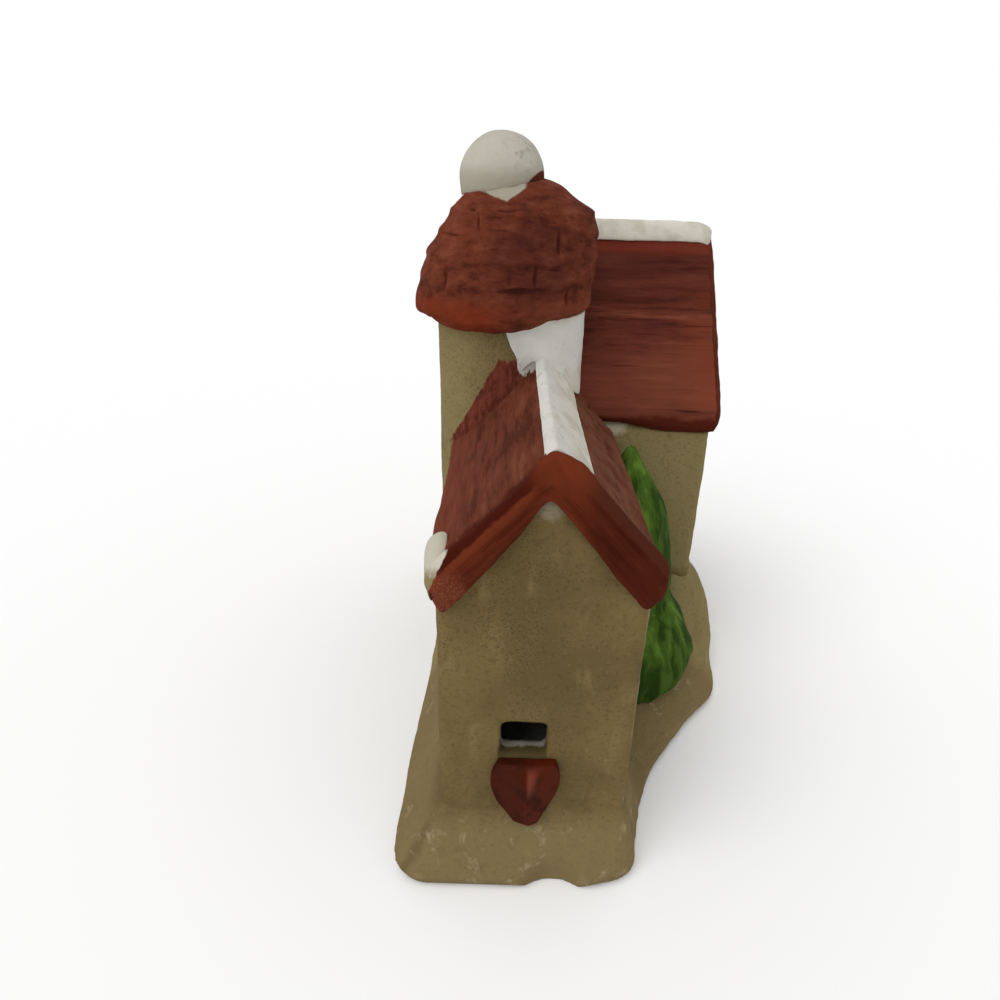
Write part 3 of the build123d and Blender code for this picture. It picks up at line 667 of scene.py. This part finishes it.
def house_body():
    """Foot, walls, tower and bank as one casting; the bank and the dip in the rim run into the foot."""
    nodes = ("flared_foot", "front_wing_walls", "main_house_walls", "tower_wall", "corner_drift")
    body = clay("clay_body", nodes, 0.6, 5)
    bank_x, bank_top = wing_high.x + 4, 40
    dip_x, rim_z = ridge_x + 4.9, 1

    def bank(at, outside):
        """1 on the bank by the main house, from a distance outside its walls."""
        distance = max(at.x - main_high.x, main_low.y - at.y)
        share = ramp(distance, outside, outside + 2.3) * ramp(at.z, rim_z, rim_z + 5)
        share *= ramp(at.x, bank_x, bank_x + 6) * ramp(at.y, main_high.y - 18, main_high.y - 26)
        return share * ramp(at.z, bank_top + 6, bank_top)

    def soft(at):
        """How far the clay is rubbed soft: all over the bank, and a little at the dip in the rim."""
        dip = 0.3 * ramp(abs(at.x - dip_x), 13, 9) * ramp(at.y, wing_low.y + 1, wing_low.y - 2)
        return max(bank(at, -0.3), dip * ramp(at.z, rim_z, rim_z + 5))

    def relief(at, normal):
        if at.z < rim_z or inside(at, normal):
            return 0.0
        low = ramp(at.z, 20, 10)
        heap = ramp(at.x, main_high.x, main_high.x + 3) * ramp(at.z, rim_z + 2, rim_z + 9)
        heap *= ramp(at.z, bank_top + 2, bank_top - 12)
        uneven = 0.3 * lumps(at, 17) + 0.12 * lumps(at, 5, 3) + 0.07 * lumps(at, 2, 5)
        return uneven + low * 0.3 * lumps(at, 9, 7) + 2.2 * heap

    def pull(at):
        """The lean of the gable, the bank sunk below its top, and the foot drawn in at its corners."""
        low = ramp(at.z, foot_high.z + 2, foot_high.z - 4)
        corner = math.exp(-((at.x - wing_high.x - 6) ** 2 + (at.y - wing_low.y - 16) ** 2) / 90)
        corner += math.exp(-((at.x - main_high.x) ** 2 + (at.y - main_low.y + 18) ** 2) / 120)
        narrow = 1.6 * ramp(at.y, wing_low.y + 14, tower_y) * ramp(at.x, wing_low.x, foot_low.x)
        back = 1.5 * ramp(at.x, wing_high.x - 10, wing_high.x - 2)
        back *= ramp(at.y, wing_low.y, wing_low.y - 6)
        beside = ramp(at.x, main_high.x - 0.5, main_high.x + 2)
        before = ramp(at.y, main_low.y + 0.5, main_low.y - 6) * ramp(at.x, bank_x, bank_x + 10)
        sunk = 5 * max(beside, before) * ramp(at.z, bank_top - 28, bank_top - 6)
        sunk *= ramp(at.z, bank_top + 8, bank_top)
        drawn = Vector((1.6 * corner + narrow, back - 1.6 * corner, 0))
        return lean(at) + Vector((0, 0, -sunk)) + low * drawn

    soften(body, 300, soft)
    mark(body, "inside", inside)
    work(body, relief, pull)
    fill(body, 420, lambda at: bank(at, -4))
    mark_edges(body, 5)
    thin(body, 190_000)
    finished(body, tan_clay())


def roofs():
    """The slopes of both roofs, with brush strokes; the main roof's eave is lifted beside the wing."""
    front = clay("front_roof", ("front_wing_roof",), 0.6, 5)
    crease = board_high.y

    def front_relief(at, _):
        across = at.x - ridge_x
        snowed = ramp(across, -4, -2) * ramp(across, 11, 9)
        sag = 0.6 * ramp(at.y, crease + 2.4, crease + 0.6)
        strokes = 0.24 * lumps(Vector((at.x, at.y / 6, at.z)), 2.6) + 0.3 * lumps(at, 9)
        return strokes * (1 - snowed) - 0.25 * snowed - sag

    work(front, front_relief)
    mark_edges(front, 2)
    finished(front, front_roof_red())

    main = clay("main_roof", ("main_house_roof",), 0.6, 8)

    def main_relief(at, _):
        return 0.3 * lumps(Vector((at.x / 9, at.y, at.z)), 2.8) + 0.3 * lumps(at, 11)

    def main_pull(at):
        eave = ramp(at.z, slope_low.z + 14, slope_low.z + 2)
        lift = 2.4 * eave * ramp(at.x, wing_high.x + 18, wing_high.x + 3)
        ends = 1.2 * ramp(at.x, slope_high.x - 3, slope_high.x)
        return lean(at) + Vector((ends, 0, lift + 0.4 * ends))

    work(main, main_relief, main_pull)
    mark_edges(main, 2)
    finished(main, main_roof_red())


# Strokes of the potter's tool on the front of the tower roof, in millimetres:
# (x from the tower's middle, height above the rim, half width, half height)
STROKES = (
    (-10.7, 25.1, 1.2, 0.4),
    (-1.4, 25.3, 2.4, 0.4),
    (-15.2, 19.4, 2.6, 0.4),
    (0.4, 8.4, 3.4, 0.45),
    (-8.2, 22.8, 0.45, 1.6),
    (-15.6, 9.9, 0.5, 2.2),
    (5.5, 11.3, 0.45, 1.9),
    (10.6, 18.8, 0.5, 2.4),
    (13.3, 6.1, 0.5, 2.2),
)


def shingle_cap():
    """The tower roof: courses partly worn away, lumpy, with strokes of a tool, drawn up by the ball."""
    cap = clay("shingle_cap", ("tower_roof",), 0.4, 5)

    def worn(at):
        sides = max(ramp(at.x, tower_x + 9, tower_x + 14), 0.6 * ramp(at.x, tower_x - 9, tower_x - 14))
        return max(ramp(lumps(at, 7, 4), -0.4, 0.15), sides)

    soften(cap, 40, worn)

    def relief(at, _):
        depth = 0.0
        if at.y < tower_y:
            x, z = at.x - tower_x, at.z - cap_low.z
            for across, up, width, height in STROKES:
                depth += 0.9 * math.exp(-(((x - across) / width) ** 2 + ((z - up) / height) ** 2))
        rough = 0.7 * lumps(at, 7) + 0.35 * lumps(at, 3.2, 5) + 0.12 * lumps(at, 1.6, 2)
        return rough * (1 - 0.7 * ramp(at.x, tower_x + 9, tower_x + 14)) - depth

    def pull(at):
        beside = ((at.x - ball_x - 7) / 6.5) ** 2 + ((at.y - tower_y) / 10) ** 2
        rise = 3.0 * ramp(at.z, cap_high.z - 7, cap_high.z) * math.exp(-beside)
        tuck = 1.6 * math.exp(-(((at.z - cap_high.z + 4) / 3.5) ** 2))
        tuck += 1.2 * math.exp(-(((at.z - cap_low.z - 20) / 3) ** 2))
        hang = 1.8 * ramp(at.x, tower_x + 7, tower_x - 1) - 0.8 * ramp(at.x, tower_x + 4, tower_x + 10)
        rim = ramp(at.z, cap_low.z + 9, cap_low.z + 3)
        rim *= 1 - 0.5 * ramp(at.x, tower_x - 10, tower_x - 18)
        return Vector((tuck * ramp(at.x, tower_x - 6, tower_x - 12), 0, rise - rim * hang))

    work(cap, relief, pull)
    mark_edges(cap, 2)
    finished(cap, shingle_red())


def bargeboards():
    """The thick bands along the gables, with rounded tips."""
    finish = board_red()

    def limbs(at):
        """The front board is thinner on its left, higher on its right, and its left tip hangs down."""
        across = at.x - ridge_x
        below = board_high.z - FRONT_SLOPE * abs(across) - at.z
        under, top = ramp(below, 4, 9), ramp(below, 4, 0)
        left, right = ramp(across, 0, -8) * ramp(across, -18, -13), ramp(across, 0, 6)
        peak = ramp(across, 16, 2) * ramp(across, -7, -1)
        up = right * 2.4 * top + peak * (2.2 * under + 1.2 * ramp(across, -2, 3) * top) - 0.9 * left * top
        down = 1.6 * under * ramp(across, -6, -15) + 0.4 * ramp(across, -15, -19)
        return Vector((0, 0, up - down))

    def tips(at):
        """How far a board is rubbed round: the front one at its tips and peak, the others all over."""
        if at.y > wing_low.y + 4:
            return 0.5
        peak = ramp(abs(at.x - ridge_x - 1), 6, 3) * ramp(at.z, board_high.z - 8, board_high.z - 5)
        return max(ramp(abs(at.x - ridge_x), 15, 19), peak)

    def relief(at, _):
        return 0.25 * lumps(at, 6) + 0.1 * lumps(at, 2) + 0.6 * tips(at)

    pulls = {"front_bargeboard": limbs, "right_bargeboard": lean, "left_bargeboard": lean}
    for name, pull in pulls.items():
        board = clay(f"{name}_clay", (name,), 0.4, 16)
        soften(board, 110, tips)
        work(board, relief, pull)
        mark_edges(board, 2)
        finished(board, finish)


def snow():
    """The dabs of snow, each thinned from above and pressed against the piece that it lies on."""
    finish = snow_white()

    def on_roof(at):
        return Vector((0, 0, -1.2 * ramp(at.z, ball_high.z - 9, ball_low.z)))

    def on_board(at):
        front = ramp(at.y, board_high.y + 7, board_high.y) * ramp(at.z, eave_z + 2.5, eave_z + 5)
        low = ramp(at.z, eave_z + 9, eave_z + 3)
        return Vector((1.5 * low, -2.4 * front, -1.6 * front - 2.4 * low))

    def on_ridge(at):
        back = ramp(at.y, tower_low.y - 7, tower_low.y)
        return Vector((0, 1.6 * back, 0.8 * back - 0.6 * ramp(at.y, board_high.y + 6, board_high.y + 1)))

    def under_cap(at):
        wider = -2.2 * ramp(at.x, tower_x + 13, tower_x + 5)
        return Vector((wider, 0.07 * wider, 1.6 * ramp(at.z, cap_low.z - 5, cap_low.z - 1)))

    def thinned(thinner):
        return lambda at, normal: 0.2 * lumps(at, 6) + 0.1 * lumps(at, 2) - thinner * max(normal.z, 0.0)

    dabs = (
        ("snow_ball", 0.5, 5, 0.0, on_roof),
        ("front_ridge_snow", 0.35, 10, 0.35, on_ridge),
        ("main_ridge_snow", 0.5, 8, -0.9, lean),
        ("tower_snow", 0.3, 5, 0.0, under_cap),
        ("eave_snow", 0.3, 8, 0.0, on_board),
    )
    for name, voxel, passes, thinner, pull in dabs:
        dab = clay(f"{name}_clay", (name,), voxel, passes)
        work(dab, thinned(thinner), pull)
        mark_edges(dab, 2)
        finished(dab, finish)


def fir():
    """The tree of two tiers: boughs run down it, its tip leans in and its upper tier is full."""
    tree = clay("fir", ("fir_tree",), 0.6, 4)
    top = spans("fir_tree")[1].z
    soften(tree, 30, lambda at: ramp(at.z, top - 14, top - 3))

    def boughs(at, _):
        upper = ramp(at.z, top - 40, top - 14)
        return 0.8 * lumps(Vector((at.x, at.y, at.z / 7)), 3.2) + 0.5 * lumps(at, 7) + 1.6 * upper

    def lean_in(at):
        return Vector((-1.6 * ramp(at.z, top - 26, top) - ramp(at.z, top - 34, top - 44), 0, 0))

    work(tree, boughs, lean_in)
    mark_edges(tree, 2)
    finished(tree, fir_green())


def red_trim():
    """The tower's door and the window boxes; the gable's box is stuck on aside."""
    finish = box_red()

    def relief(at, _):
        return 0.15 * lumps(at, 4)

    def shifted(aside):
        return lambda at: Vector((aside, 0, 0))

    for name in ("tower_door", "gable_window_box", "east_window_box", "west_window_box"):
        trim = clay(f"{name}_clay", (name,), 0.3, 3)
        work(trim, relief, shifted(BOX_ASIDE if name == "gable_window_box" else 0.0))
        mark_edges(trim, 2)
        finished(trim, finish)


# Stage


def stage():
    """A pale floor in a white room, lit softly from a window."""
    bpy.ops.mesh.primitive_plane_add(size=400)
    floor = bpy.context.object
    floor.name = "floor"
    pale = Finish("pale_floor")
    pale.shader.inputs["Base Color"].default_value = (0.97, 0.97, 0.97, 1)
    pale.shader.inputs["Roughness"].default_value = 0.9
    pale.shader.inputs["Specular IOR Level"].default_value = 0.0
    floor.data.materials.append(pale.material)

    world = bpy.data.worlds.new("soft_room")
    bpy.context.scene.world = world
    world.use_nodes = True
    nodes, links = world.node_tree.nodes, world.node_tree.links
    sky = nodes["Background"]
    sky.inputs["Color"].default_value = (1, 1, 1, 1)
    rays = nodes.new("ShaderNodeLightPath")
    seen = nodes.new("ShaderNodeMath")
    seen.operation = "ADD"
    seen.use_clamp = True
    through = nodes.new("ShaderNodeMath")
    through.operation = "ADD"
    links.new(rays.outputs["Is Glossy Ray"], through.inputs[0])
    links.new(rays.outputs["Is Transmission Ray"], through.inputs[1])
    links.new(rays.outputs["Is Camera Ray"], seen.inputs[0])
    links.new(through.outputs[0], seen.inputs[1])
    level = nodes.new("ShaderNodeMapRange")
    level.inputs["To Min"].default_value = 0.66
    level.inputs["To Max"].default_value = 1.0
    links.new(seen.outputs[0], level.inputs["Value"])
    links.new(level.outputs[0], sky.inputs["Strength"])

    sun = bpy.data.lights.new("window_light", "SUN")
    sun.energy = 1.4
    sun.angle = math.radians(50)
    down_from_left = Vector((0.45, 0.5, -1.0))
    holder = bpy.data.objects.new("window_light", sun)
    holder.rotation_euler = down_from_left.to_track_quat("-Z", "Y").to_euler()
    bpy.context.scene.collection.objects.link(holder)


def camera():
    """The photograph's camera, fitted to the corners of the house."""
    stand = Vector((-21.33, -170.37, 141.63))
    pitch, yaw, roll = math.radians(25.74), math.radians(0.36), math.radians(1.43)
    ahead = Vector((-math.sin(yaw) * math.cos(pitch), math.cos(yaw) * math.cos(pitch), -math.sin(pitch)))
    right = Vector((math.cos(yaw), math.sin(yaw), 0))
    up = right.cross(ahead)
    level_right = right * math.cos(roll) + up * math.sin(roll)
    level_up = up * math.cos(roll) - right * math.sin(roll)
    turn = Matrix((level_right, level_up, -ahead)).transposed().to_4x4()
    lens = bpy.data.cameras.new("camera")
    lens.sensor_width = 36
    lens.lens = 25.01
    lens.clip_start = 0.01
    holder = bpy.data.objects.new("camera", lens)
    holder.matrix_world = Matrix.Translation(stand * MM) @ turn
    bpy.context.scene.collection.objects.link(holder)
    bpy.context.scene.camera = holder


house_body()
roofs()
shingle_cap()
bargeboards()
snow()
fir()
red_trim()
stage()
camera()
bpy.context.scene.view_settings.view_transform = "Standard"
